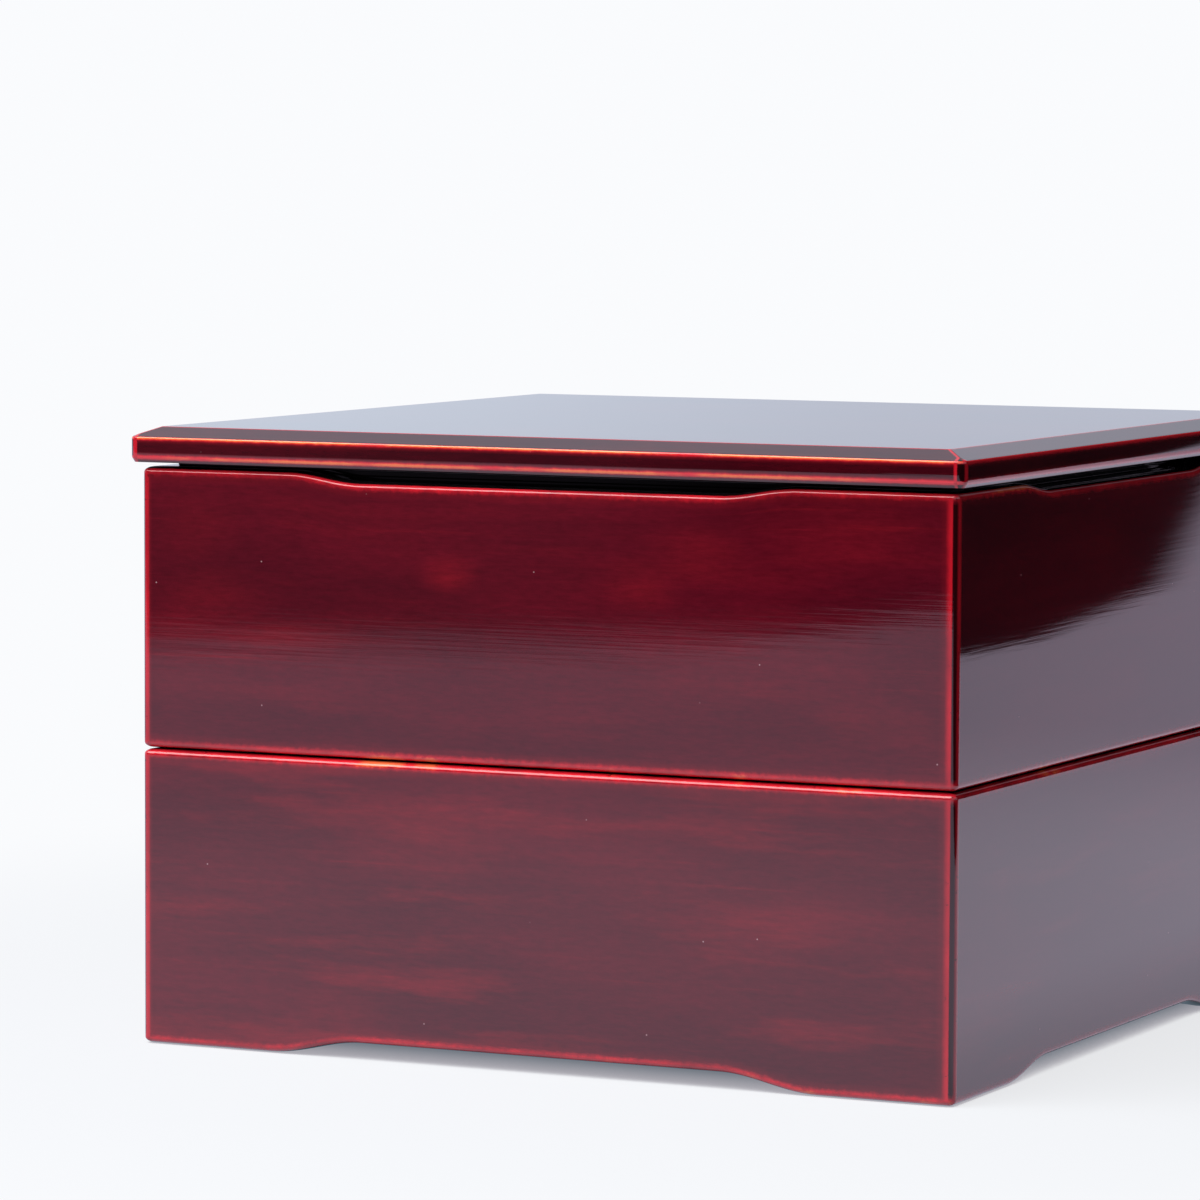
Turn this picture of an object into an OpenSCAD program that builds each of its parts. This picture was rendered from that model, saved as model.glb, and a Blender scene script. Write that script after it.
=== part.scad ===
// Two-tier stacking lacquer box (jubako) with a flat bevelled lid.
// Frame: origin at the middle of the base, +Z up, front towards -Y, right towards +X.
// Every tier is four mitred boards round a grooved bottom board. A stepped ring of strips
// under the upper tier and a plain ring under the lid drop inside the rim below.

/* [Tiers] */
// Outer width and depth of both tiers
tier_w = 195; // [150:0.5:240]
// Height of the lower tier, feet included
lower_h = 66.1; // [50:0.1:90]
// Height of the upper tier from rim to rim
upper_h = 62.7; // [50:0.1:90]
// Thickness of the wall boards
wall_t = 7.5; // [6:0.1:10]
// Radius of the upright corners
corner_r = 1.8; // [1.8:0.1:3]
// Radius of the rims and of the bottom edges
edge_r = 0.85; // [0.6:0.05:0.85]

/* [Lid] */
// Thickness of the lid board
lid_h = 8.7; // [7:0.1:14]
// How far the lid stands out past the tier
overhang = 2.1; // [1:0.1:4]
// Width of the bevel round the top of the lid
bevel_w = 5.4; // [3:0.1:9]
// Height of the bevel round the top of the lid
bevel_h = 2.2; // [1:0.1:4]
// Height of the shadow gap between the underside of the lid and the tier
shadow_gap = 0.9; // [0.5:0.05:1.5]
// Width of the chamfer round the bottom of the lid
chamfer_w = 0.6; // [0.3:0.05:2]
// Height of the chamfer round the bottom of the lid
chamfer_h = 0.95; // [0.5:0.05:1.5]
// Width of the land on the rim that carries the lid
seat_w = 1.6; // [1.2:0.1:3]
// Radius of the upright corners of the lid
lid_corner_r = 2; // [1:0.1:4]

/* [Scoops and arches] */
// Level length of the scoop in the upper rim
scoop_flat = 86; // [50:1:100]
// Length of each curved end of the scoop
scoop_ramp = 18; // [12:0.5:24]
// Depth of the scoop in the upper rim
scoop_depth = 2; // [1:0.1:3]
// Level length of the arch between two feet
arch_flat = 86; // [50:1:100]
// Length of each curved end of the arch
arch_ramp = 23; // [12:0.5:24]
// Height of the arch between two feet
arch_h = 3.4; // [2:0.1:4.5]

/* [Bottom boards] */
// Thickness of the bottom boards
board_t = 5; // [4:0.1:6]
// Depth of the groove that holds a bottom board
groove = 3; // [2:0.1:4]
// Height of the lower bottom board above the table
lower_board_z = 6.2; // [6:0.1:9]
// Height of the upper bottom board above the joint of the tiers
upper_board_z = 3; // [2.5:0.1:5]

/* [Locating strips] */
// Thickness of the strips that drop inside a rim
strip_t = 4; // [3:0.1:6]
// How far the strips reach down inside a rim
strip_drop = 4.6; // [3:0.1:7]
// Gap between a strip and the wall it drops behind
strip_gap = 0.5; // [0.3:0.1:1]

/* [Corner splines] */
// Thickness of the hidden spline in each mitre
spline_t = 1.8; // [1.5:0.1:2.2]
// Width of the spline across the mitre
spline_w = 6.4; // [5:0.1:6.6]
// Wood left above and below each spline
spline_stop = 11; // [11:0.5:15]

/* [Hidden] */
half_w = tier_w / 2;
inner = half_w - wall_t;
lid_w = tier_w + 2 * overhang;
joint_z = lower_h;
rim_z = lower_h + upper_h;
board_w = 2 * (inner + groove);
// The spline sits a little inside the middle of the mitre, clear of both faces
spline_in = 0.58 * wall_t;
strip_r = 1;
past = 1;
// Straight runs that make up one curved end of a scoop or an arch
dip_steps = 14;
// A turn for each side, counted from the front
front = 0;
right = 90;
back = 180;
left = 270;

// Rectangle with round corners, its lower left corner at the origin
module rounded_rect(w, h, r) {
    translate([r, 0]) square([w - 2 * r, h]);
    translate([0, r]) square([w, h - 2 * r]);
    for (x = [r, w - r], y = [r, h - r]) translate([x, y]) circle(r, $fn = 48);
}

// Carries a section along X: its x becomes depth from the face, its y becomes height
module along_side(length) {
    translate([-length / 2, 0, 0]) rotate([90, 0, 90]) linear_extrude(length) children();
}

// Keeps what lies in front of the two 45 degree mitre planes
module mitred(reach, height) {
    intersection() {
        children();
        translate([0, 0, -past])
            linear_extrude(height + 2 * past)
                polygon([[0, 0], [reach, -reach], [reach, -half_w - past],
                         [-reach, -half_w - past], [-reach, -reach]]);
    }
}

// One end of the wall: the section swept round the upright corner as far as the mitre
module wall_corner(h) {
    rotate_extrude(angle = 45, $fn = 96)
        intersection() {
            translate([corner_r - wall_t, 0]) rounded_rect(wall_t, h, edge_r);
            square([corner_r, h]);
        }
}

// Wall board of the front side, standing on z = 0, with both mitres cut
module wall_board(h) {
    c = half_w - corner_r;
    mitred(c, h)
        translate([0, -half_w, 0]) along_side(2 * c) rounded_rect(wall_t, h, edge_r);
    for (side = [0, 1])
        mirror([side, 0, 0]) translate([c, -c, 0]) rotate(-90) wall_corner(h);
}

// One curved end of a dip: it eases up from the level floor to the edge of the board
function dip_end(flat, ramp, depth, side, order) =
    [for (i = order) [side * (flat / 2 + ramp * i / dip_steps),
                      -depth * (1 + cos(180 * i / dip_steps)) / 2]];

// Cutter for the scoop in a rim, or upside down for the arch between two feet
module dip_cutter(flat, ramp, depth) {
    reach = flat / 2 + ramp;
    translate([0, past - half_w + wall_t, 0]) rotate([90, 0, 0])
        linear_extrude(wall_t + 2 * past)
            polygon(concat(dip_end(flat, ramp, depth, 1, [0:dip_steps]),
                           [[reach, past], [-reach, past]],
                           dip_end(flat, ramp, depth, -1, [dip_steps:-1:0])));
}

// Splines in the four mitres of a tier whose walls run from z to z + h
module splines(z, h) {
    for (turn = [front, right, back, left])
        rotate(turn)
            translate([half_w - spline_in, spline_in - half_w, z + spline_stop])
                rotate(45)
                    translate([-spline_w / 2, -spline_t / 2, 0])
                        cube([spline_w, spline_t, h - 2 * spline_stop]);
}

// Bottom board of a tier, its edges in the grooves of the walls
module bottom_board(z) {
    translate([-board_w / 2, -board_w / 2, z]) cube([board_w, board_w, board_t]);
}

// Ring strip of the front side, mitred, its section given as children
module strip(z, h) {
    translate([0, 0, z]) mitred(inner, h)
        translate([0, -inner, 0]) along_side(2 * inner) children();
}

// Wall of the upper tier, with the shallow scoop in its rim
module upper_wall(turn) {
    difference() {
        rotate(turn) difference() {
            translate([0, 0, joint_z]) wall_board(upper_h);
            translate([0, 0, rim_z]) dip_cutter(scoop_flat, scoop_ramp, scoop_depth);
        }
        bottom_board(joint_z + upper_board_z);
        splines(joint_z, upper_h);
    }
}

// Wall of the lower tier, with the arch that leaves a foot at each corner
module lower_wall(turn) {
    difference() {
        rotate(turn) difference() {
            wall_board(lower_h);
            mirror([0, 0, 1]) dip_cutter(arch_flat, arch_ramp, arch_h);
        }
        bottom_board(lower_board_z);
        splines(0, lower_h);
    }
}

// Strip under the lid: set back by the gap, with its lower edges rounded
module lid_rim(turn) {
    rotate(turn) strip(rim_z - strip_drop, strip_drop)
        translate([strip_gap, 0]) {
            rounded_rect(strip_t, strip_drop, strip_r);
            translate([0, strip_r]) square([strip_t, strip_drop - strip_r]);
        }
}

// Strip under the upper bottom board: it fills the wall's inner face above the joint
// and steps back by the gap where it drops inside the lower tier
module upper_step(turn) {
    h = strip_drop + upper_board_z;
    rotate(turn) strip(joint_z - strip_drop, h) {
        translate([strip_gap, 0]) rounded_rect(strip_t, strip_drop, strip_r);
        translate([strip_gap, strip_r]) square([strip_t, h - strip_r]);
        translate([0, strip_drop]) square([strip_gap + strip_t, upper_board_z]);
    }
}

// Section through the lid: the land on the rim, the shadow gap, a small chamfer, the
// upright edge, then the wide low bevel, and the same mirrored
module lid_section() {
    w = lid_w / 2;
    seat = inner + seat_w;
    half = [[seat, 0], [seat, shadow_gap], [w - chamfer_w, shadow_gap],
            [w, shadow_gap + chamfer_h], [w, lid_h - bevel_h], [w - bevel_w, lid_h]];
    polygon(concat(half, [for (i = [len(half) - 1:-1:0]) [-half[i][0], half[i][1]]]));
}

// Lid board: the section carried both ways, with the upright corners rounded
module lid_panel() {
    color("#7a1c26")
        translate([0, 0, rim_z]) intersection() {
            translate([-lid_w / 2, 0, 0]) rotate([90, 0, 90])
                linear_extrude(lid_w) lid_section();
            translate([0, lid_w / 2, 0]) rotate([90, 0, 0])
                linear_extrude(lid_w) lid_section();
            translate([-lid_w / 2, -lid_w / 2, 0])
                linear_extrude(lid_h) rounded_rect(lid_w, lid_w, lid_corner_r);
        }
}

module lid_rim_front() { color("#1c1416") lid_rim(front); }
module lid_rim_right() { color("#1c1416") lid_rim(right); }
module lid_rim_back() { color("#1c1416") lid_rim(back); }
module lid_rim_left() { color("#1c1416") lid_rim(left); }

module upper_wall_front() { color("#6d141e") upper_wall(front); }
module upper_wall_right() { color("#6d141e") upper_wall(right); }
module upper_wall_back() { color("#6d141e") upper_wall(back); }
module upper_wall_left() { color("#6d141e") upper_wall(left); }
module upper_bottom() { color("#241a1c") bottom_board(joint_z + upper_board_z); }
module upper_splines() { color("#b08a5c") splines(joint_z, upper_h); }

module upper_step_front() { color("#1c1416") upper_step(front); }
module upper_step_right() { color("#1c1416") upper_step(right); }
module upper_step_back() { color("#1c1416") upper_step(back); }
module upper_step_left() { color("#1c1416") upper_step(left); }

module lower_wall_front() { color("#621018") lower_wall(front); }
module lower_wall_right() { color("#621018") lower_wall(right); }
module lower_wall_back() { color("#621018") lower_wall(back); }
module lower_wall_left() { color("#621018") lower_wall(left); }
module lower_bottom() { color("#241a1c") bottom_board(lower_board_z); }
module lower_splines() { color("#b08a5c") splines(0, lower_h); }

lid_panel();
lid_rim_front();
lid_rim_right();
lid_rim_back();
lid_rim_left();
upper_wall_front();
upper_wall_right();
upper_wall_back();
upper_wall_left();
upper_bottom();
upper_splines();
upper_step_front();
upper_step_right();
upper_step_back();
upper_step_left();
lower_wall_front();
lower_wall_right();
lower_wall_back();
lower_wall_left();
lower_bottom();
lower_splines();
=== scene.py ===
import math

import bpy
from mathutils import Matrix, Vector


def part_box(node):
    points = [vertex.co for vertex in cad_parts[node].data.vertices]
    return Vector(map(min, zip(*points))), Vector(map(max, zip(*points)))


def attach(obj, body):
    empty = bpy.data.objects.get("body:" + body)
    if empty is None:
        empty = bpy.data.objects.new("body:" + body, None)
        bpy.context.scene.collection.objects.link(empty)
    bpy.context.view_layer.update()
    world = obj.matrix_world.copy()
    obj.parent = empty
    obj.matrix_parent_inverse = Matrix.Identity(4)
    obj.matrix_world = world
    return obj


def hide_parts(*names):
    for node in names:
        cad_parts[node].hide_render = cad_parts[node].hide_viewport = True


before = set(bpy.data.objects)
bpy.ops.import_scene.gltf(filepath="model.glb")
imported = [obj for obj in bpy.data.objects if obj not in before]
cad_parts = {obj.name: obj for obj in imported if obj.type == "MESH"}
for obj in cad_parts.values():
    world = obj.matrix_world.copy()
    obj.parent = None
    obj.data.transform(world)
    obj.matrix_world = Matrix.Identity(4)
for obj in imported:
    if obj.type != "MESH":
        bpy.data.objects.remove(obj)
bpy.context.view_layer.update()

MM = 0.001
LOW, HIGH = 0, 1
X, Y, Z = 0, 1, 2


def box_mm(name):
    """The lowest and the highest corner of a CAD node in mm, to the nearest micrometre."""
    return [[round(c / MM, 3) for c in corner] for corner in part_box(name)]


# The box in millimetres, read back from the frame
FRONT_WALL, BOARD = box_mm("lower_wall_front"), box_mm("lower_bottom")
LID, LID_STRIP = box_mm("lid_panel"), box_mm("lid_rim_front")
TIER_HALF = box_mm("lower_wall_right")[HIGH][X]
WALL_T = round(TIER_HALF + FRONT_WALL[HIGH][Y], 3)
INNER = TIER_HALF - WALL_T
JOINT_Z = FRONT_WALL[HIGH][Z]
RIM_Z = box_mm("upper_wall_front")[HIGH][Z]
TOP_Z = LID[HIGH][Z]
LID_HALF = LID[HIGH][X]
GROOVE = round(BOARD[HIGH][X] - INNER, 3)
LOWER_BOARD_Z = BOARD[LOW][Z]
BOARD_T = round(BOARD[HIGH][Z] - LOWER_BOARD_Z, 3)
UPPER_BOARD_Z = box_mm("upper_bottom")[LOW][Z]
STEP_Z = box_mm("upper_step_front")[LOW][Z]
LID_RIM_Z = LID_STRIP[LOW][Z]
STRIP_GAP = round(INNER + LID_STRIP[LOW][Y], 3)
STRIP_T = round(LID_STRIP[HIGH][Y] - LID_STRIP[LOW][Y], 3)

# Forms that the frame's boxes don't give, in millimetres. First the walls: their upright
# corners, their inner edges, and the crown of their rims and bottom edges
CORNER_R = 1.5
EDGE_R = 0.85
CROWN_H = 1.5
CROWN_POWER = 2.5
# How far the red lacquer goes in over a scooped rim, a plain rim and a bottom edge; the black
# past it on a bottom edge is painted shade
RED_ON_SCOOP = 0.9
RED_ON_RIM = 1.5
RED_BEFORE_FOOT_SHADE = 1.0
# Scoops and arches: half their flat, the run of each end, and their depth
DIP_FLAT = 43.0
SCOOP_RAMP = 18.0
SCOOP_DEPTH = 2.0
ARCH_RAMP = 23.0
ARCH_H = 3.4
# They move the points within the first distance of their edge, and fade in over the second
SCOOP_FADE = (22.0, 20.0)
ARCH_FADE = (5.9, 4.1)
# Rows on the inner face, below the rim, on both sides of that fade
INSIDE_ROWS = (24.0, 2.0)

# The lid: its bevel, the gap under it, its chamfer, the width of the land that rests on the
# rim, the radii of its upright corners, hips and long edges, and the red's reach under it
BEVEL_W = 5.4
BEVEL_H = 2.2
SHADOW_GAP = 0.9
CHAMFER_W = 0.6
CHAMFER_H = 0.95
SEAT_W = 1.6
LID_CORNER_R = 2.0
HIP_R = 0.35
CREST_R = 0.5
CHAMFER_R = 0.15
SEAT_R = 0.2
RED_UNDER_LID = 1.0
UPPER_ARRIS = TOP_Z - BEVEL_H
LOWER_ARRIS = RIM_Z + SHADOW_GAP + CHAMFER_H
# Points of its edge, from each arris: depth, rise, and upward tilt of the normal in degrees
UPPER_EDGE = ((0.34, 0.13, 68), (0.20, 0.06, 60), (0.09, -0.03, 42), (0.03, -0.14, 22),
              (0.005, -0.30, 7), (0, -0.50, 1.0), (0, -1.2, 0.3), (0, -2.2, -0.7))
LOWER_EDGE = ((0, 1.5, -1.6), (0, 1.0, -2.6), (0, 0.5, -5), (0.02, 0.2, -12), (0.08, 0, -20),
              (0.17, -0.15, -28), (0.30, -0.36, -32))
# The glow of an arris is this many times narrower on the bevel and on the chamfer
BEVEL_SQUEEZE = 4
CHAMFER_SQUEEZE = 1.6
# The flat top's grain and marks start this far inside the crest
TOP_MARGIN = 0.3

# The locating strips: their lower edges, their other edges, and the points (depth, distance
# from the top) of the fine groove that the scoops show on the lid's strips
STRIP_R = 0.9
STRIP_EDGE_R = 0.15
STRIP_GROOVE = ((0.0, 1.00), (0.12, 1.06), (0.0, 1.28))

# How finely arcs, crowns and ramps are divided. An arc of a smaller radius is a plain corner
ARC_STEPS = 8
CROWN_STEPS = 14
RAMP_STEPS = 16
LEAST_ARC = 0.02
# Rows of vertices at these distances from an edge carry the marks that tint the lacquer
EDGE_ROWS = (1.6, 2.6, 4.0, 6.0, 9.0, 14.0, 22.0)
CORNER_ROWS = (0.4, 0.9, *EDGE_ROWS)
MIDDLE_ROWS = (0, 14, 28)
TOP_ROWS = (60.0, *reversed(EDGE_ROWS), 0.6)
BEVEL_ROWS = (BEVEL_W - 1, 1.6, 0.6)
# Vertices that agree to so many decimals of a millimetre are one, and so are stations
SAME_VERTEX = 5
SAME_STATION = 4
# The glow along an upright corner is narrower at the left end of a side, its dark arc of painted
# shade too
LEFT_SQUEEZE = 2.2
LEFT_ARC_SHARE = 0.35

SIDES = ("front", "right", "back", "left")
RED, BLACK, WOOD = 0, 1, 2
FAR = 99.0


# Outlines

def ease(t):
    return (1 - math.cos(math.pi * min(max(t, 0.0), 1.0))) / 2


def dip(x, height, ramp):
    """How far an arch rises at x, and the slope there. A scoop's height is negative."""
    t = (DIP_FLAT + ramp - abs(x)) / ramp
    steep = math.sin(math.pi * t) * math.pi / 2 if 0 < t < 1 else 0.0
    return height * ease(t), -math.copysign(1, x) * height * steep / ramp


def corner_arc(before, here, after, radius, slot):
    """Points, outward normals and slots round one convex corner of an outline."""
    a, b = (before - here).normalized(), (after - here).normalized()
    half = math.acos(max(-1.0, min(1.0, a.dot(b)))) / 2
    centre = here + (a + b).normalized() * (radius / math.sin(half))
    start = here + a * (radius / math.tan(half)) - centre
    turn = math.pi - 2 * half
    angle = math.atan2(start.y, start.x)
    arc = []
    for k in range(ARC_STEPS + 1):
        way = angle + turn * k / ARC_STEPS
        spoke = Vector((math.cos(way), math.sin(way)))
        arc.append((centre + spoke * radius, spoke, slot))
    return arc


def crown(z, up, red_to):
    """The outer half of a wall's rim (up = 1) or bottom edge (up = -1), from face to middle.

    It is rounder near the face and almost flat in the middle. Its lacquer is red up to the
    depth red_to, and black further in, which on a bottom edge is painted shade.
    """
    half = WALL_T / 2
    arc = []
    for k in range(CROWN_STEPS + 1):
        way = math.pi / 2 * k / CROWN_STEPS
        across, rise = math.cos(way) ** (2 / CROWN_POWER), math.sin(way) ** (2 / CROWN_POWER)
        place = Vector((half * (1 - across), z - up * CROWN_H * (1 - rise)))
        normal = Vector((-across ** (CROWN_POWER - 1) / half,
                         up * rise ** (CROWN_POWER - 1) / CROWN_H)).normalized()
        arc.append((place, normal, RED if place.x < red_to else BLACK))
    return arc


def outline(points, closed=True):
    """Strips (from, to, normal, normal, slot) along an outline of (depth, z, radius, slot).

    The outline runs with the solid on its left. A point's slot is that of its corner and of
    the run that starts there. A list in place of a point is a ready-made arc.
    """
    count = len(points)
    places = [p[0][0] if isinstance(p, list) else Vector(p[:2]) for p in points]
    corners = []
    for i, (here, point) in enumerate(zip(places, points)):
        at_end = not closed and i in (0, count - 1)
        if isinstance(point, list):
            corners.append(point)
        elif point[2] > 0 and not at_end:
            after = places[(i + 1) % count]
            corners.append(corner_arc(places[i - 1], here, after, point[2], point[3]))
        else:
            corners.append([(here, None, point[3])])
    strips = []
    for i, arc in enumerate(corners):
        strips += [(p, q, n, m, max(s, t)) for (p, n, s), (q, m, t) in zip(arc, arc[1:])]
        if closed or i < count - 1:
            p, q = arc[-1][0], corners[(i + 1) % count][0][0]
            run = (q - p).normalized()
            flat = Vector((run.y, -run.x))
            strips.append((p, q, flat, flat, arc[-1][2]))
    return strips


# Meshes

class Skin:
    """Collects faces whose corners each carry a normal, edge distances and a grain place."""

    def __init__(self):
        self.index, self.places, self.faces = {}, [], []
        self.normals, self.edges, self.grains, self.slots = [], [], [], []

    def vertex(self, place):
        key = tuple(round(c, SAME_VERTEX) for c in place)
        if key not in self.index:
            self.index[key] = len(self.places)
            self.places.append([c * MM for c in place])
        return self.index[key]

    def face(self, corners, slot):
        """Adds a face without its doubled corners, or nothing if fewer than three are left."""
        kept = {}
        for corner in corners:
            kept.setdefault(self.vertex(corner[0]), corner)
        if len(kept) < 3:
            return
        self.faces.append(list(kept))
        self.slots.append(slot)
        for _, normal, edge, grain in kept.values():
            self.normals.append(normal.normalized())
            self.edges.append(edge)
            self.grains.append([g * MM for g in grain])

    def build(self, name, materials):
        mesh = bpy.data.meshes.new(name)
        mesh.from_pydata(self.places, [], self.faces)
        for material in materials:
            mesh.materials.append(material)
        mesh.polygons.foreach_set("material_index", self.slots)
        mesh.polygons.foreach_set("use_smooth", [True] * len(self.faces))
        for label, values in (("edge", self.edges), ("grain", self.grains)):
            layer = mesh.attributes.new(label, "FLOAT_VECTOR", "CORNER")
            layer.data.foreach_set("vector", [c for v in values for c in v])
        mesh.update()
        mesh.normals_split_custom_set(self.normals)
        piece = bpy.data.objects.new(name, mesh)
        bpy.context.scene.collection.objects.link(piece)
        return piece


class Side:
    """One side of a square ring: it places outline points along X and round its two corners."""

    # Points deeper than this have a grain that runs straight across all four sides
    flat_from = math.inf

    def __init__(self, half, corner_r, least_r=0.0, bottom=0.0, top=0.0, scoop=0.0, arch=0.0):
        self.half, self.corner_r, self.least_r = half, corner_r, least_r
        self.bottom, self.top, self.scoop, self.arch = bottom, top, scoop, arch

    def corner(self, depth):
        """Radius of the upright corner at a depth, and half the length of the side between."""
        radius = min(max(self.corner_r - depth, self.least_r), self.half - depth)
        radius = radius if radius > LEAST_ARC else 0.0
        return radius, max(self.half - depth - radius, 0.0)

    def shift(self, x, z):
        """How far the scoop or the arch moves a point, and the slope that it gives there."""
        middle = (self.bottom + self.top) / 2
        if self.scoop and z > middle:
            rise, slope = dip(x, -self.scoop, SCOOP_RAMP)
            away, (reach, run) = self.top - z, SCOOP_FADE
        elif self.arch and z < middle:
            rise, slope = dip(x, self.arch, ARCH_RAMP)
            away, (reach, run) = z - self.bottom, ARCH_FADE
        else:
            return 0.0, 0.0
        share = min(max((reach - away) / run, 0), 1)
        return rise * share, slope * share

    def marks(self, x, turn, point, rise):
        """Distances in mm to the rim and to the bottom edge."""
        if self.top <= self.bottom:
            return FAR, FAR
        rim = self.top + (self.shift(x, self.top)[0] if turn == 0 else 0)
        foot = self.bottom + (self.shift(x, self.bottom)[0] if turn == 0 else 0)
        return max(rim - point.y - rise, 0), max(point.y + rise - foot, 0)

    def at(self, station, point, normal):
        """A place, normal, edge distances and grain for a station (x, turn) and outline point.

        The edge distances are those to the rim, to the start of the upright corner and to
        the bottom edge. The grain is the distance from the side's middle, and the height.
        """
        x, turn = station
        radius, centre = self.corner(point.x)
        rise = 0.0
        if turn == 0:
            x = min(max(x, -centre), centre)
            rise, slope = self.shift(x, point.y)
            place = (x, point.x - self.half, point.y + rise)
            way = Vector((-slope * normal.y, normal.x, normal.y))
            to_corner = (centre - abs(x)) * (LEFT_SQUEEZE if x < 0 else 1)
        else:
            sign = math.copysign(1, turn)
            sin, cos = math.sin(abs(turn)), math.cos(turn)
            place = (sign * (centre + radius * sin), -centre - radius * cos, point.y)
            inward = (-sign * sin, cos) if radius > 0 else (0.0, 1.0)
            way = Vector((inward[0] * normal.x, inward[1] * normal.x, normal.y))
            to_corner = -radius * abs(turn) * (LEFT_ARC_SHARE if turn < 0 else 1)
        run = min(abs(x), centre) + radius * abs(turn)
        to_top, to_bottom = self.marks(x, turn, point, rise)
        grain = (math.copysign(run, x if turn == 0 else turn), point.y)
        return place, way, (to_top, to_corner, to_bottom), grain


class LidSide(Side):
    """A side of the lid, with distances to its arrises and crest for rim and bottom edge."""

    flat_from = BEVEL_W + TOP_MARGIN

    def at(self, station, point, normal):
        place, way, edge, grain = super().at(station, point, normal)
        if point.x > self.flat_from:
            edge = (edge[0], FAR, edge[2])
        return place, way, edge, grain

    def marks(self, x, turn, point, rise):
        """Distances in mm to the nearest arris and to the crest between bevel and top."""
        above = BEVEL_SQUEEZE if point.y > UPPER_ARRIS else 1
        below = CHAMFER_SQUEEZE if point.y < LOWER_ARRIS else 1
        to_arris = min(math.hypot(point.x, point.y - UPPER_ARRIS) * above,
                       math.hypot(point.x, point.y - LOWER_ARRIS) * below)
        return to_arris, math.hypot(point.x - BEVEL_W, point.y - TOP_Z)


def stations(half, corner_r, ramp, depths=()):
    """Places along one side: the two corner arcs, the ends of deeper runs, and the ramps."""
    curve = [DIP_FLAT + ramp * k / RAMP_STEPS for k in range(RAMP_STEPS + 1)]
    ends = [half - corner_r - d for d in CORNER_ROWS] + [half - d for d in depths]
    line = [*MIDDLE_ROWS, *curve, half - corner_r, *ends]
    line = sorted(set(round(x, SAME_STATION) for x in line))
    line = [x for x in line if 0 <= x <= half]
    straight = [(-x, 0) for x in reversed(line) if x > 0] + [(x, 0) for x in line]
    mitre = math.pi / 4
    arcs = [(half, mitre * k / ARC_STEPS) for k in range(1, ARC_STEPS + 1)]
    return [(-x, -t) for x, t in reversed(arcs)] + straight + arcs


def turned(vector, turn):
    """A place or direction turned about Z by a multiple of 90 degrees, with no rounding."""
    x, y, z = vector
    for _ in range(turn // 90):
        x, y = -y, x
    return Vector((x, y, z))


def fill_side(skin, side, steps, strips, turn, caps=True):
    """Adds one side of a ring to a skin, turned about Z, with its mitre faces if asked for."""
    grain_start = turn / 90 * 2 * side.half

    def corner(step, point, normal):
        place, way, edge, (run, z) = side.at(step, point, normal)
        place = turned(place, turn)
        grain = (grain_start + run, z, point.x)
        if point.x > side.flat_from:
            grain = (place.x, place.y, z)
        return place, turned(way, turn), edge, grain

    for a, b in zip(steps, steps[1:]):
        for p, q, n, m, slot in strips:
            skin.face([corner(a, p, n), corner(a, q, m), corner(b, q, m), corner(b, p, n)], slot)
    if caps:
        for step, order, sign in ((steps[-1], 1, 1), (steps[0], -1, -1)):
            mitre = turned((sign, 1, 0), turn).normalized()
            ring = [corner(step, s[0], s[2]) for s in strips][::order]
            skin.face([(place, mitre, edge, grain) for place, _, edge, grain in ring], WOOD)


def add_piece(skin, name, materials, body, cad_node):
    """Builds a skin as a piece that rides on a body and stands for a CAD node."""
    piece = skin.build(name, materials)
    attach(piece, body)
    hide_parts(cad_node)


def wall(name, turn, body, low, high, board_z, scoop, arch, materials):
    """A wall board: crowned edges, a groove for the bottom board, and a scoop or an arch."""
    in_groove = WALL_T - GROOVE
    section = [
        # Past its red, the bottom edge is black: painted shade under the wall
        crown(low, -1, RED_BEFORE_FOOT_SHADE), (WALL_T, low, EDGE_R, BLACK),
        (WALL_T, board_z, 0, BLACK), (in_groove, board_z, 0, BLACK),
        (in_groove, board_z + BOARD_T, 0, BLACK), (WALL_T, board_z + BOARD_T, 0, BLACK),
        *[(WALL_T, high - r, 0, BLACK) for r in INSIDE_ROWS],
        (WALL_T, high, EDGE_R, BLACK),
        crown(high, 1, RED_ON_SCOOP if scoop else RED_ON_RIM)[::-1],
        *[(0, high - r, 0, RED) for r in EDGE_ROWS],
        *[(0, low + r, 0, RED) for r in reversed(EDGE_ROWS)],
    ]
    side = Side(TIER_HALF, CORNER_R, 0.0, low, high, scoop, arch)
    steps = stations(TIER_HALF, CORNER_R, SCOOP_RAMP if scoop else ARCH_RAMP,
                     (WALL_T, in_groove, WALL_T - EDGE_R))
    skin = Skin()
    fill_side(skin, side, steps, outline(section), turn)
    add_piece(skin, name + "_board", materials, body, name)


def strip(name, turn, body, low, high, materials, step_z=None):
    """A mitred locating strip behind a wall.

    Above step_z it is full, up to the wall's inner face, and below it is set back. With no
    step it is set back all the way up, and has a fine groove along its outer face.
    """
    near, far = STRIP_GAP, STRIP_GAP + STRIP_T
    section = [(near, low, STRIP_R, BLACK), (far, low, STRIP_R, BLACK),
               (far, high, STRIP_EDGE_R, BLACK)]
    if step_z is None:
        section.append((near, high, STRIP_EDGE_R, BLACK))
        section += [(near + depth, high - drop, 0, BLACK) for depth, drop in STRIP_GROOVE]
    else:
        section += [(0, high, STRIP_EDGE_R, BLACK), (0, step_z, STRIP_EDGE_R, BLACK),
                    (near, step_z, 0, BLACK)]
    skin = Skin()
    steps = [(INNER * share, 0) for share in (-1, -0.5, 0, 0.5, 1)]
    fill_side(skin, Side(INNER, 0.0), steps, outline(section), turn)
    add_piece(skin, name + "_strip", materials, body, name)


def lid_edge():
    """The lid's edge from its upper to its lower arris, with normals tilted to look crowned."""
    arc = []
    for arris, points in ((UPPER_ARRIS, UPPER_EDGE), (LOWER_ARRIS, LOWER_EDGE)):
        for depth, rise, degrees in points:
            tilt = math.radians(degrees)
            arc.append((Vector((depth, arris + rise)),
                        Vector((-math.cos(tilt), math.sin(tilt))), RED))
    return arc


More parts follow.
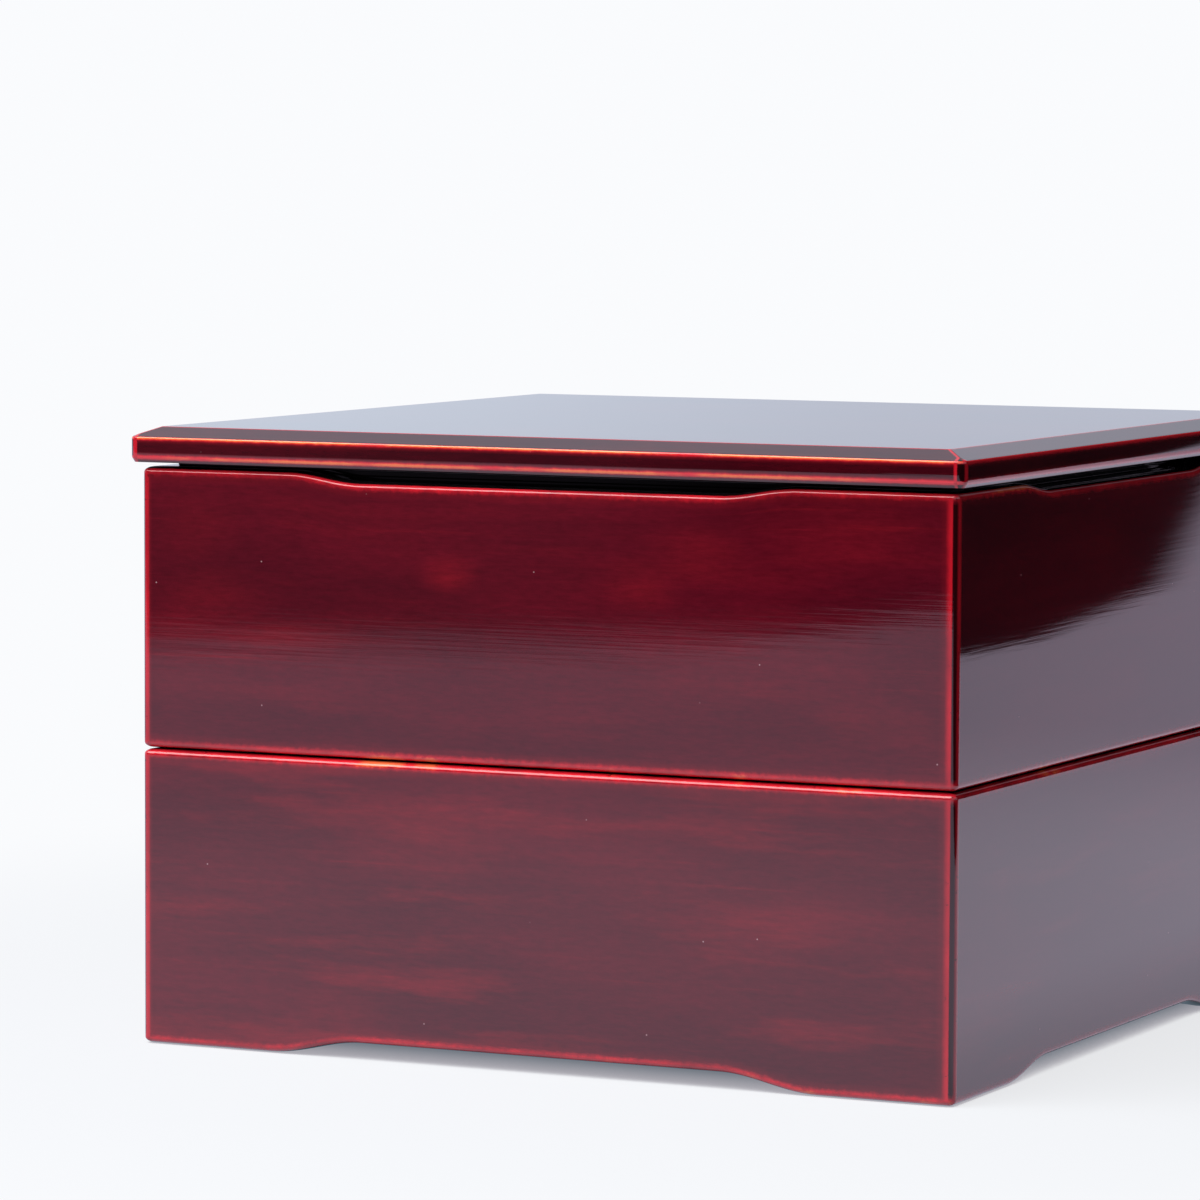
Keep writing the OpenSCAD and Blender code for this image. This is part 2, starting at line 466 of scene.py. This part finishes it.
def lid(materials):
    """The lid board: four sides of one ring that meet in the middle of the top and bottom."""
    under = RIM_Z + SHADOW_GAP
    seat = LID_HALF - INNER - SEAT_W
    slope = BEVEL_H / BEVEL_W
    section = [
        (LID_HALF, TOP_Z, 0, RED),
        *[(BEVEL_W + r, TOP_Z, 0, RED) for r in TOP_ROWS],
        (BEVEL_W, TOP_Z, CREST_R, RED),
        *[(depth, TOP_Z - slope * (BEVEL_W - depth), 0, RED) for depth in BEVEL_ROWS],
        lid_edge(),
        (CHAMFER_W, under, CHAMFER_R, RED),
        (CHAMFER_W + RED_UNDER_LID, under, 0, BLACK),
        (seat, under, 0, BLACK),
        (seat, RIM_Z, SEAT_R, BLACK),
        (LID_HALF, RIM_Z, 0, BLACK),
    ]
    side = LidSide(LID_HALF, LID_CORNER_R, HIP_R)
    steps = stations(LID_HALF, LID_CORNER_R, SCOOP_RAMP)
    strips = outline(section, closed=False)
    skin = Skin()
    for turn in range(0, 360, 90):
        fill_side(skin, side, steps, strips, turn, caps=False)
    add_piece(skin, "lid_board", materials, "lid", "lid_panel")


# Nodes

def node(tree, kind, *values, **named):
    """A shader node. Unnamed values fill its inputs in order, and named ones by name.

    Names in lower case are settings of the node. A value of None leaves its input alone.
    """
    made = tree.nodes.new("ShaderNode" + kind)
    for key in [k for k in named if k.islower()]:
        setattr(made, key, named.pop(key))
    inputs = list(zip(made.inputs, values))
    inputs += [(made.inputs[k.replace("_", " ")], v) for k, v in named.items()]
    for socket, value in inputs:
        if isinstance(value, bpy.types.NodeSocket):
            tree.links.new(value, socket)
        elif isinstance(value, tuple) and socket.type == "RGBA":
            socket.default_value = (*value, 1)
        elif value is not None:
            socket.default_value = value
    return made


def math_node(tree, operation, *values):
    return node(tree, "Math", *values, operation=operation).outputs[0]


def product(tree, first, *others):
    for other in others:
        first = math_node(tree, "MULTIPLY", first, other)
    return first


def vector_node(tree, operation, *values, output="Vector"):
    return node(tree, "VectorMath", *values, operation=operation).outputs[output]


def split(tree, vector):
    return node(tree, "SeparateXYZ", vector).outputs


def grey(tree, value):
    return node(tree, "CombineXYZ", value, value, value).outputs[0]


def ramp_value(tree, value, low, high, start=0.0, end=1.0, smooth=True):
    kind = "SMOOTHSTEP" if smooth else "LINEAR"
    made = node(tree, "MapRange", value, low, high, start, end, interpolation_type=kind)
    return made.outputs[0]


def mix_colour(tree, share, a, b, blend="MIX"):
    # The first factor is input 0 of the Mix node, and its two colours are inputs 6 and 7
    made = node(tree, "Mix", share, *[None] * 5, a, b, data_type="RGBA", blend_type=blend,
                clamp_factor=True)
    return made.outputs[2]


def noise(tree, vector, scale, detail=3.0, rough=0.5, stretch=(1, 1, 1), start=(0, 0, 0)):
    moved = node(tree, "Mapping", vector, Location=start, Scale=stretch).outputs[0]
    made = node(tree, "TexNoise", Vector=moved, Scale=scale, Detail=detail, Roughness=rough)
    return made.outputs[0]


def attribute(tree, name):
    return node(tree, "Attribute", attribute_name=name).outputs["Vector"]


def new_material(name):
    material = bpy.data.materials.new(name)
    material.use_nodes = True
    material.node_tree.nodes.clear()
    return material, material.node_tree


def layered(tree, colour, sources, layers):
    """Lays the tints of some layers over a colour in turn.

    A layer is a tint, and terms that are multiplied for its share. A term names a source, and
    then gives the ramp for it: from, to, and the share at each of these ends. With no ramp the
    source is a share already.
    """
    for tint, *terms in layers:
        shares = [ramp_value(tree, sources[source], *ramp) if ramp else sources[source]
                  for source, *ramp in terms]
        colour = mix_colour(tree, product(tree, *shares), colour, tint)
    return colour


# Materials

# Linear colours of the translucent red lacquer, thin over the edges and deep in the faces
LACQUER_DEEP = (0.072, 0.0026, 0.0088)
LACQUER_MID = (0.125, 0.0036, 0.0122)
LACQUER_THIN = (0.290, 0.0080, 0.0160)
EDGE_RED = (0.80, 0.016, 0.030)
CORNER_RED = (0.55, 0.010, 0.022)
EDGE_ORANGE = (1.0, 0.22, 0.06)
# Dark of the small chips, and painted shade on the arcs of the upright corners
CHIPS_AND_CORNER_SHADE = (0.012, 0.001, 0.002)
LID_TONE = (0.50, 0.50, 0.50)
LACQUER_ROUGHNESS = 0.028
LACQUER_IOR = 1.6

# Noises are scale, detail, roughness, stretch and start, over the grain places in metres
BODY_NOISES = {
    "clouds": (18, 4, 0.55, (0.45, 1.7, 1)),
    "blotches": (30, 2, 0.4, (0.6, 1.3, 1)),
    "streaks": (90, 5, 0.65, (0.10, 4.0, 1)),
    "flames": (60, 5, 0.6, (0.22, 1.7, 1), (0.3, 0.1, 0)),
    "tears": (60, 3, 0.6, (0.5, 1.6, 1)),
    "fine": (700, 3, 0.7, (0.35, 1.6, 1)),
}
BODY_LAYERS = (
    (LACQUER_MID, ("clouds", 0.34, 0.66)),
    (LACQUER_THIN, ("blotches", 0.60, 0.78, 0, 0.25)),
    (LACQUER_DEEP, ("streaks", 0.60, 0.30, 0, 0.40)),
    (LACQUER_THIN, ("streaks", 0.58, 0.78, 0, 0.30)),
    (LACQUER_THIN, ("flames", 0.50, 0.70, 0, 0.42), ("flame share",)),
    (LACQUER_THIN, ("red patches",), ("tears", 0.25, 0.6, 0.30, 1.0)),
    (LACQUER_DEEP, ("dark patches",)),
)
# The ramp that turns the fine noise into a brightness
FINE_SHADE = (0.25, 0.75, 0.80, 1.22)
# Share of the flames above and below the tiers' joint, and on the lid
FLAMES_UPPER, FLAMES_LOWER, FLAMES_LID = 0.3, 1.0, 0.45

# Soft patches on the front faces: x, z, half width and half height in mm, and how red (+) or
# dark (-) they are. They fade out at PATCH_REACH times their half sizes
PATCHES = (
    (-21.3, 107.8, 6, 4, 0.50), (38.6, 115.2, 12, 6, 0.25), (24.6, 105.8, 8, 4, 0.30),
    (73.0, 120.0, 26, 9, 0.20), (-84.0, 116.0, 11, 9, 0.15), (-80.0, 101.0, 13, 5, 0.20),
    (-60.0, 92.5, 16, 3, 0.20), (-33.0, 119.0, 30, 7, -0.30), (2.0, 119.0, 26, 6, -0.20),
    (-94.4, 74.7, 2.6, 2.2, -0.9), (-89.2, 56.0, 2.4, 1.2, -0.7), (-50.2, 48.1, 3, 1.3, -0.45),
    (43.1, 59.3, 1.6, 0.7, -0.5), (-28.0, 49.4, 22, 8, 0.30), (64.0, 37.0, 18, 5, 0.25),
    (0.0, 41.0, 12, 3, -0.3),
)
PATCH_REACH = 1.5

# Dust specks: scale of their cells, distances at which a speck begins and is full, and the
# cells' random values from which on they have one
SPECK_CELLS = 75.0
SPECK_RIM = (0.017, 0.006)
SPECK_CHOSEN = (0.90, 0.92)
SPECK_PALE = (0.42, 0.24, 0.26)

# Bumps of the lacquer, as a noise and a height in metres: brush lines, bands and a long swell
BUMPS = (
    ((250, 3, 0.6, (0.09, 6.0, 1)), 2.4e-6),
    ((60, 3, 0.5, (0.22, 5.0, 1)), 5.0e-6),
    ((22, 2, 0.5, (0.5, 1.6, 1)), 9.0e-6),
)

# Wear along the edges. A wobble is the factor and the offset of the noise that shifts it
WORN = (500, 4, 0.7)
TIER_PATCHY = (45, 3, 0.6, (1, 1, 0.2), (3.1, 1.7, 0))
LID_PATCHY = (45, 3, 0.6, (1, 1, 0.2))
TIER_WOBBLE = (1.6, -0.8)
LID_WOBBLE = (0.5, -0.25)
CORNER_WOBBLE = 0.35
TIER_LAYERS = (
    # A dark band beside the edges, and the red and orange glow at the rims
    (LACQUER_DEEP, ("nearest", 7.0, 2.0, 0, 0.35), ("patchy", 0.5, 0.62)),
    (LACQUER_THIN, ("near rim", 4.0, 1.5, 0, 0.30)),
    (EDGE_RED, ("near rim", 2.3, 0.8), ("patchy", 0.30, 0.60, 0.45, 1.0)),
    (EDGE_ORANGE, ("near rim", 1.5, 0.9), ("patchy", 0.56, 0.68, 0, 0.75)),
    # The upright corners: a thin red line at each end of the arc, and a dark arc of painted
    # shade between
    (LACQUER_THIN, ("near corner", 3.0, 0.6, 0, 0.25)),
    (CORNER_RED, ("near corner", 1.45, 0.0), ("to corner", -0.50, -0.20),
     ("patchy", 0.30, 0.60, 0.55, 1.0)),
    (CHIPS_AND_CORNER_SHADE, ("to corner", -0.15, -0.45, 0, 0.9), ("to rim", 1.6, 3.0)),
    # Small dark chips
    (CHIPS_AND_CORNER_SHADE, ("worn", 0.62, 0.68), ("nearest", 0.75, 0.30, 0, 0.8)),
)
LID_LAYERS = (
    # The crest, and the red and orange glow at the arrises
    (CORNER_RED, ("to crest", 0.50, 0.10, 0, 0.8)),
    (LACQUER_THIN, ("near arris", 1.5, 0.5, 0, 0.6)),
    (EDGE_RED, ("near arris", 0.9, 0.3)),
    (EDGE_ORANGE, ("near arris", 0.60, 0.15), ("patchy", 0.36, 0.52), ("orange",), ("thin",)),
    # The hips and upright corners, as on the tiers, with a dark arc of painted shade
    (CORNER_RED, ("to corner", 0.60, 0.05), ("to corner", -0.55, -0.25), ("hip",)),
    (CHIPS_AND_CORNER_SHADE, ("to corner", -0.25, -0.50, 0, 0.95), ("to arris", 0.3, 0.7)),
)
# The right side's part of the lid ends over this distance, in metres, to each side of a corner
SIDE_SOFT = 0.0005
# Orange shows all along the upper arris, above these heights in metres, and on the lower one
# from these distances from the corners on, in mm, with the share at each
MID_EDGE = (0.1325, 0.1335)
LOWER_ORANGE = (10, 35, 0, 0.85)
# Marks between which the bevel starts, and how faint its hip's line is on the right side
BEVEL_FROM = (2.9, 3.5)
FAINT_HIP = 0.1

BLACK_DEEP = (0.004, 0.0028, 0.0032)
BLACK_PALE = (0.010, 0.007, 0.008)
BLACK_CLOUDS = (40, 3, 0.5)
BLACK_SPAN = (0.3, 0.7)
BLACK_RIPPLE = (60, 3, 0.5)
RIPPLE_HEIGHT = 8e-6
BLACK_ROUGHNESS = 0.06
BLACK_IOR = 1.55

WOOD_DARK = (0.36, 0.22, 0.11)
WOOD_PALE = (0.55, 0.38, 0.21)
WOOD_RINGS = (240, 4, 0.6, (1, 1, 0.06))
WOOD_SPAN = (0.35, 0.65)
WOOD_BUMP = (0.4, 5e-5)
WOOD_ROUGHNESS = 0.6


def patches(tree, grain, sign):
    """The strength at a grain place of the patches of one sign."""
    total = 0.0
    for x, z, wide, tall, strength in PATCHES:
        if strength * sign > 0:
            off = vector_node(tree, "SUBTRACT", grain, (x * MM, z * MM, 0))
            off = vector_node(tree, "MULTIPLY", off, (1 / wide / MM, 1 / tall / MM, 0))
            far = vector_node(tree, "LENGTH", off, output="Value")
            here = ramp_value(tree, far, PATCH_REACH, 0.0, 0, abs(strength))
            total = math_node(tree, "MAXIMUM", total, here)
    return total


def lacquer_body(tree, grain, flame_share):
    """The colour of the red lacquer away from its edges."""
    sources = {name: noise(tree, grain, *values) for name, values in BODY_NOISES.items()}
    sources["flame share"] = flame_share
    sources["red patches"] = patches(tree, grain, 1)
    sources["dark patches"] = patches(tree, grain, -1)
    colour = layered(tree, LACQUER_DEEP, sources, BODY_LAYERS)
    shade = ramp_value(tree, sources["fine"], *FINE_SHADE, smooth=False)
    return mix_colour(tree, 1.0, colour, grey(tree, shade), "MULTIPLY")


def lacquer_shader(tree, grain, colour):
    """Gloss with the fine level brush lines that tear the edges of reflections."""
    normal = None
    for values, height in BUMPS:
        normal = node(tree, "Bump", Strength=1.0, Distance=height,
                      Height=noise(tree, grain, *values), Normal=normal).outputs[0]
    return node(tree, "BsdfPrincipled", Base_Color=colour, Roughness=LACQUER_ROUGHNESS,
                IOR=LACQUER_IOR, Normal=normal).outputs[0]


def specks(tree, grain, colour):
    """A few pale specks of dust in a colour."""
    flat = vector_node(tree, "MULTIPLY", grain, (1, 1, 0))
    cells = node(tree, "TexVoronoi", Vector=flat, Scale=SPECK_CELLS, voronoi_dimensions="2D")
    chosen = ramp_value(tree, split(tree, cells.outputs["Color"])[X], *SPECK_CHOSEN)
    spot = ramp_value(tree, cells.outputs["Distance"], *SPECK_RIM)
    return mix_colour(tree, product(tree, spot, chosen), colour, SPECK_PALE)


def tier_lacquer():
    """The red lacquer of the walls, worn along their rims and upright corners, with painted
    shade on the corners' arcs.
    """
    material, tree = new_material("red_lacquer")
    grain = attribute(tree, "grain")
    to_top, to_corner, to_bottom = split(tree, attribute(tree, "edge"))
    to_rim = math_node(tree, "MINIMUM", to_top, to_bottom)
    joint = JOINT_Z * MM
    flame_share = ramp_value(tree, split(tree, grain)[Y], joint + MM, joint,
                             FLAMES_UPPER, FLAMES_LOWER)
    colour = specks(tree, grain, lacquer_body(tree, grain, flame_share))
    worn = noise(tree, grain, *WORN)
    wobble = math_node(tree, "MULTIPLY_ADD", worn, *TIER_WOBBLE)
    sources = {
        "worn": worn,
        "patchy": noise(tree, grain, *TIER_PATCHY),
        "to rim": to_rim,
        "to corner": to_corner,
        "nearest": math_node(tree, "MINIMUM", to_rim, to_corner),
        "near rim": math_node(tree, "ADD", to_rim, wobble),
        "near corner": math_node(tree, "MULTIPLY_ADD", wobble, CORNER_WOBBLE, to_corner),
    }
    colour = layered(tree, colour, sources, TIER_LAYERS)
    node(tree, "OutputMaterial", lacquer_shader(tree, grain, colour))
    return material


def lid_lacquer():
    """The darker red lacquer of the lid, worn along its arrises and crest, with painted shade on
    the arcs of its upright corners.

    On the right side it is thick at the arrises and the hip, so they stay dark red there.
    """
    material, tree = new_material("lid_lacquer")
    grain = attribute(tree, "grain")
    to_arris, to_corner, to_crest = split(tree, attribute(tree, "edge"))
    colour = lacquer_body(tree, grain, FLAMES_LID)
    colour = specks(tree, grain, mix_colour(tree, 1.0, colour, LID_TONE, "MULTIPLY"))
    run, height, _ = split(tree, grain)
    half = LID_HALF * MM
    from_right = math_node(tree, "ABSOLUTE", math_node(tree, "SUBTRACT", run, 2 * half))
    thin = ramp_value(tree, from_right, half - SIDE_SOFT, half + SIDE_SOFT)
    thick_hip = math_node(tree, "SUBTRACT", ramp_value(tree, to_arris, *BEVEL_FROM), thin)
    wobble = math_node(tree, "MULTIPLY_ADD", noise(tree, grain, *WORN), *LID_WOBBLE)
    sources = {
        "patchy": noise(tree, grain, *LID_PATCHY),
        "to arris": to_arris,
        "to corner": to_corner,
        "to crest": to_crest,
        "near arris": math_node(tree, "ADD", to_arris, wobble),
        "thin": thin,
        "orange": math_node(tree, "MAXIMUM", ramp_value(tree, height, *MID_EDGE),
                            ramp_value(tree, to_corner, *LOWER_ORANGE)),
        "hip": ramp_value(tree, thick_hip, 0, 1, 1.0, FAINT_HIP),
    }
    colour = layered(tree, colour, sources, LID_LAYERS)
    node(tree, "OutputMaterial", lacquer_shader(tree, grain, colour))
    return material


def black_lacquer():
    material, tree = new_material("black_lacquer")
    place = node(tree, "TexCoord").outputs["Object"]
    clouds = ramp_value(tree, noise(tree, place, *BLACK_CLOUDS), *BLACK_SPAN)
    bump = node(tree, "Bump", Strength=1.0, Distance=RIPPLE_HEIGHT,
                Height=noise(tree, place, *BLACK_RIPPLE)).outputs[0]
    shader = node(tree, "BsdfPrincipled", Roughness=BLACK_ROUGHNESS, IOR=BLACK_IOR, Normal=bump,
                  Base_Color=mix_colour(tree, clouds, BLACK_DEEP, BLACK_PALE))
    node(tree, "OutputMaterial", shader.outputs[0])
    return material


def bare_wood():
    material, tree = new_material("bare_wood")
    place = node(tree, "TexCoord").outputs["Object"]
    rings = noise(tree, place, *WOOD_RINGS)
    colour = mix_colour(tree, ramp_value(tree, rings, *WOOD_SPAN), WOOD_DARK, WOOD_PALE)
    strength, height = WOOD_BUMP
    bump = node(tree, "Bump", Strength=strength, Distance=height, Height=rings).outputs[0]
    shader = node(tree, "BsdfPrincipled", Base_Color=colour, Roughness=WOOD_ROUGHNESS,
                  Normal=bump)
    node(tree, "OutputMaterial", shader.outputs[0])
    return material


# Stage

# Camera solved from the tier and lid edges of the photograph, in metres and degrees
CAMERA_PLACE = Vector((0.5618, -1.2307, 0.2032))
CAMERA_YAW = -25.75
CAMERA_PITCH = 4.54
CAMERA_ROLL = 0.227
FOCAL_PIXELS = 5916.7
PHOTO_WIDTH = 1200
SENSOR = 36.0

# White of the floor and the world for the camera, and half the floor's size in metres
PALE = (0.955, 0.965, 0.985)
FLOOR_HALF = 6.0
# The floor for the camera, under the box, where painted shade darkens it: at its outer faces and
# some 40 mm further in, how much faster it darkens along x and y, and between which depths in
# metres
UNDER_EDGE_SHADE = (0.54, 0.52, 0.57)
UNDER_DEEP_SHADE = (0.12, 0.16, 0.20)
UNDER_STEEP = (2.5, 1.25)
UNDER_SPAN = (-0.004, 0.040)
# Its shadow close to the box: reach, samples, and how open it is where that is full and ends
SHADOW_REACH = 0.05
SHADOW_SAMPLES = 8
SHADOW_SPAN = (0.16, 0.44)
# It shines by itself with distance from the middle: from, to, and the share at both ends. The
# rest of it is lit by the lamp, and so is the floor for light that bounces
OWN_LIGHT = (0.16, 0.42, 0.80, 1.0)
FLOOR_LIT = (0.61, 0.64, 0.69)
FLOOR_BOUNCED = (0.30, 0.31, 0.33)

# The sheet under the box as the lacquer mirrors it, close by and further off, between these
# distances from the middle, dimmer further off as a painted falloff of the lamp's light
SHEET_NEAR = (1.02, 0.94, 1.17)
SHEET_OFF = (0.76, 0.67, 0.87)
SHEET_SPAN = (0.35, 0.80)
# It has a painted shadow close beside the right face, up to this x, and painted shade under the
# box
BESIDE_TO = 0.160
BESIDE_SHADOW_TONE = 0.78
BESIDE_SOFT = 0.0005
COVERED_SPAN = (-0.001, 0.004)
# The left, right and front ends of the mirrored sheet, and the end of the glow past the left
# one. A line is two points on the floor, in metres, and how softly the sheet ends there
SHEET_ENDS = (
    (((-0.615, -1.002), (-0.459, -1.077), 0.14), ((-0.404, -1.100), (-0.394, -1.250), 0.015)),
    (((0.575, 1.323), (0.718, 1.757), 0.012), ((0.505, 0.990), (0.551, 1.235), 0.008),
     ((0.503, 0.0), (0.503, 1.0), 0.006)),
    (((-0.5, -1.32), (0.5, -1.32), 0.02),),
)
GLOW_END = ((-0.43, -1.06), (-0.65, -1.55), 0.09)
GLOW_SPAN = (0.0, -0.5)
# Brightness of the mirrored studio past those ends, and of the glow
STUDIO_DARK = 0.012
STUDIO_GLOW = 0.085

# Backdrop colours to the left and to the right of the box, as the lid's top mirrors them, and
# how softly one turns into the other
BACKDROP_LEFT = (0.72, 0.80, 0.93)
BACKDROP_RIGHT = (0.61, 0.66, 0.78)
BACKDROP_SOFT = 0.07
# Where the mirrored world turns dark: sines of the angle aside, and heights of the direction
DARK_ASIDE = (0.45, 0.68)
DARK_ABOVE = (0.92, 0.72)
FILL_COLOUR = (0.93, 0.96, 1.0)
FILL_STRENGTH = 0.14


def heading():
    """Level unit vectors ahead of the camera and to its right, before it is rolled."""
    yaw = math.radians(CAMERA_YAW)
    return Vector((math.sin(yaw), math.cos(yaw), 0)), Vector((math.cos(yaw), -math.sin(yaw), 0))


def add_camera():
    data = bpy.data.cameras.new("camera")
    data.sensor_width = SENSOR
    data.lens = FOCAL_PIXELS / PHOTO_WIDTH * SENSOR
    camera = bpy.data.objects.new("camera", data)
    ahead, right = heading()
    pitch = math.radians(CAMERA_PITCH)
    forward = ahead * math.cos(pitch) - Vector((0, 0, math.sin(pitch)))
    up = right.cross(forward)
    roll = math.radians(CAMERA_ROLL)
    right, up = (right * math.cos(roll) + up * math.sin(roll),
                 up * math.cos(roll) - right * math.sin(roll))
    turn = Matrix((right, up, -forward)).transposed()
    camera.matrix_world = Matrix.Translation(CAMERA_PLACE) @ turn.to_4x4()
    bpy.context.scene.collection.objects.link(camera)
    bpy.context.scene.camera = camera


def inside_line(tree, place, line):
    """1 where the floor lies on the box's side of a line through two points, else 0."""
    a, b, soft = Vector(line[0]), Vector(line[1]), line[2]
    across = Vector((a.y - b.y, b.x - a.x)).normalized()
    if across.dot(a) > 0:
        across.negate()
    along = vector_node(tree, "DOT_PRODUCT", place, (*across, 0), output="Value")
    edge = across.dot(a)
    return ramp_value(tree, along, edge - soft, edge + soft)


def sheet_brightness(tree, place, y):
    """Brightness of the mirrored floor: 1 on the sheet, and the dark studio past its ends."""
    inside = 1.0
    for lines in SHEET_ENDS:
        within = 0.0
        for line in lines:
            within = math_node(tree, "MAXIMUM", within, inside_line(tree, place, line))
        inside = math_node(tree, "MULTIPLY", inside, within)
    glow = product(tree, inside_line(tree, place, GLOW_END),
                   ramp_value(tree, y, *GLOW_SPAN, 0, STUDIO_GLOW))
    beyond = math_node(tree, "MAXIMUM", glow, STUDIO_DARK)
    return math_node(tree, "MAXIMUM", inside, beyond)


def depth_under(tree, x, y):
    """How far a place on the floor lies under the box, weighted along x and y."""
    depths = []
    for coordinate, steep in zip((x, y), UNDER_STEEP):
        depth = math_node(tree, "SUBTRACT", TIER_HALF * MM,
                          math_node(tree, "ABSOLUTE", coordinate))
        depths.append(math_node(tree, "MULTIPLY", depth, steep))
    return math_node(tree, "MINIMUM", *depths)


def floor_material():
    """White with the box's soft shadow for the camera. The lacquer mirrors the photo's sheet."""
    material, tree = new_material("floor")
    place = node(tree, "TexCoord").outputs["Object"]
    x, y, _ = split(tree, place)
    under = depth_under(tree, x, y)
    far = vector_node(tree, "LENGTH", place, output="Value")

    openness = node(tree, "AmbientOcclusion", Distance=SHADOW_REACH, samples=SHADOW_SAMPLES)
    # Painted shade under the box, deeper further in
    shade = mix_colour(tree, ramp_value(tree, under, *UNDER_SPAN), UNDER_EDGE_SHADE, UNDER_DEEP_SHADE)
    shade = mix_colour(tree, ramp_value(tree, openness.outputs["AO"], *SHADOW_SPAN), shade, PALE)
    lit = node(tree, "BsdfDiffuse", FLOOR_LIT)
    own = node(tree, "Emission", shade, 1.0)
    seen = node(tree, "MixShader", ramp_value(tree, far, *OWN_LIGHT), lit.outputs[0],
                own.outputs[0])

    # Painted lamp light on the mirrored sheet that falls off with distance, a painted shadow
    # beside the right face, and painted shade under the box
    sheet = mix_colour(tree, ramp_value(tree, far, *SHEET_SPAN), SHEET_NEAR, SHEET_OFF)
    face = TIER_HALF * MM
    beside = math_node(tree, "MAXIMUM", ramp_value(tree, x, face, BESIDE_TO, BESIDE_SHADOW_TONE, 1.0),
                       ramp_value(tree, x, face, face - BESIDE_SOFT))
    sheet = mix_colour(tree, 1.0, sheet, grey(tree, beside), "MULTIPLY")
    sheet = mix_colour(tree, ramp_value(tree, under, *COVERED_SPAN), sheet, UNDER_DEEP_SHADE)
    mirrored = node(tree, "Emission", sheet, sheet_brightness(tree, place, y))

    path = node(tree, "LightPath")
    bounced = node(tree, "BsdfDiffuse", FLOOR_BOUNCED)
    other = node(tree, "MixShader", path.outputs["Is Glossy Ray"], bounced.outputs[0],
                 mirrored.outputs[0])
    shader = node(tree, "MixShader", path.outputs["Is Camera Ray"], other.outputs[0],
                  seen.outputs[0])
    node(tree, "OutputMaterial", shader.outputs[0])
    return material


def add_floor():
    mesh = bpy.data.meshes.new("floor")
    ring = ((-1, -1), (1, -1), (1, 1), (-1, 1))
    mesh.from_pydata([(x * FLOOR_HALF, y * FLOOR_HALF, 0) for x, y in ring], [], [(0, 1, 2, 3)])
    mesh.materials.append(floor_material())
    floor = bpy.data.objects.new("floor", mesh)
    bpy.context.scene.collection.objects.link(floor)


def add_world():
    """White for the camera, and a studio in reflections.

    The front and the right face both mirror the level direction in which the camera looks,
    with its x turned round. The mirrored world is dark near that line and overhead, and has
    the pale backdrop elsewhere, which is what the lid's top mirrors.
    """
    world = bpy.data.worlds.new("studio")
    bpy.context.scene.world = world
    world.use_nodes = True
    tree = world.node_tree
    tree.nodes.clear()
    way = node(tree, "TexCoord").outputs["Generated"]
    level = vector_node(tree, "NORMALIZE", vector_node(tree, "MULTIPLY", way, (1, 1, 0)))
    ahead, right = heading()
    aside = vector_node(tree, "CROSS_PRODUCT", level, (-ahead.x, ahead.y, 0))
    off = math_node(tree, "ABSOLUTE", split(tree, aside)[Z])
    glow = product(tree, ramp_value(tree, off, *DARK_ASIDE),
                   ramp_value(tree, split(tree, way)[Z], *DARK_ABOVE))
    across = vector_node(tree, "DOT_PRODUCT", level, tuple(right), output="Value")
    side = ramp_value(tree, across, -BACKDROP_SOFT, BACKDROP_SOFT)
    backdrop = mix_colour(tree, side, BACKDROP_LEFT, BACKDROP_RIGHT)
    path = node(tree, "LightPath")
    fill = node(tree, "Background", FILL_COLOUR, FILL_STRENGTH)
    gloss = node(tree, "Background", backdrop, ramp_value(tree, glow, 0, 1, STUDIO_DARK, 1.0))
    plain = node(tree, "Background", PALE, 1.0)
    other = node(tree, "MixShader", path.outputs["Is Glossy Ray"], fill.outputs[0],
                 gloss.outputs[0])
    shader = node(tree, "MixShader", path.outputs["Is Camera Ray"], other.outputs[0],
                  plain.outputs[0])
    node(tree, "OutputWorld", shader.outputs[0])


def add_lamp(name, azimuth, elevation, distance, size, watts):
    """A soft square lamp aimed at the box. Azimuth 0 stands in front, 90 to the right."""
    data = bpy.data.lights.new(name, "AREA")
    data.shape, data.size, data.energy = "SQUARE", size, watts
    lamp = bpy.data.objects.new(name, data)
    a, e = math.radians(azimuth), math.radians(elevation)
    way = Vector((math.sin(a) * math.cos(e), -math.cos(a) * math.cos(e), math.sin(e)))
    target = Vector((0, 0, TOP_Z * MM / 2))
    aim = way.to_track_quat("Z", "Y").to_matrix().to_4x4()
    lamp.matrix_world = Matrix.Translation(target + way * distance) @ aim
    bpy.context.scene.collection.objects.link(lamp)


# The scene

bpy.context.scene.view_settings.view_transform = "Standard"
black, wood = black_lacquer(), bare_wood()
finishes = [tier_lacquer(), black, wood]
for number, label in enumerate(SIDES):
    angle = 90 * number
    wall("upper_wall_" + label, angle, "upper_tier", JOINT_Z, RIM_Z, UPPER_BOARD_Z,
         SCOOP_DEPTH, 0, finishes)
    wall("lower_wall_" + label, angle, "lower_tier", 0, JOINT_Z, LOWER_BOARD_Z,
         0, ARCH_H, finishes)
    strip("lid_rim_" + label, angle, "lid", LID_RIM_Z, RIM_Z, finishes)
    strip("upper_step_" + label, angle, "upper_tier", STEP_Z, UPPER_BOARD_Z, finishes, JOINT_Z)
lid([lid_lacquer(), black])
for name, finish in (("upper_bottom", black), ("lower_bottom", black),
                     ("upper_splines", wood), ("lower_splines", wood)):
    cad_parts[name].data.materials.clear()
    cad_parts[name].data.materials.append(finish)

add_floor()
add_world()
add_lamp("key", azimuth=-26, elevation=52, distance=1.5, size=1.4, watts=38)
add_camera()
